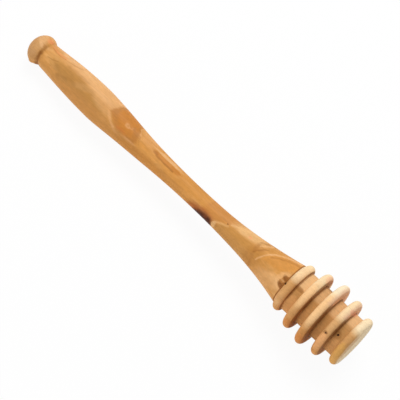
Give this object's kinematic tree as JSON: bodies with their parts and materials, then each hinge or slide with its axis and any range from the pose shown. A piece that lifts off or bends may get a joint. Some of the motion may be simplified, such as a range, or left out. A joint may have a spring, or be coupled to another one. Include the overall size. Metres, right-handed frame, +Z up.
{
  "type": "honey dipper",
  "caption": "Turned wooden honey dipper: a slim waisted handle with a round end knob, and a barrel-shaped head of rounded rings with deep grooves between them and a flat end.",
  "frame": {"origin": "on the ground under the middle of the part as it lies at rest on its knob and its widest ring", "axes": "+X along the part from the knob towards the ringed head, +Z up; the turning axis rises 2.96 degrees towards the head, because the head is thicker than the knob"},
  "size_m": [0.1602, 0.0264, 0.0264],
  "materials": {
    "handle_wood": "turned olive wood, lightly oiled, satin",
    "head_wood": "turned olive wood, pale and dry, matt"
  },
  "bodies": {
    "root": {"handle": "handle_wood", "dipper_head": "head_wood"}
  },
  "joints": []
}
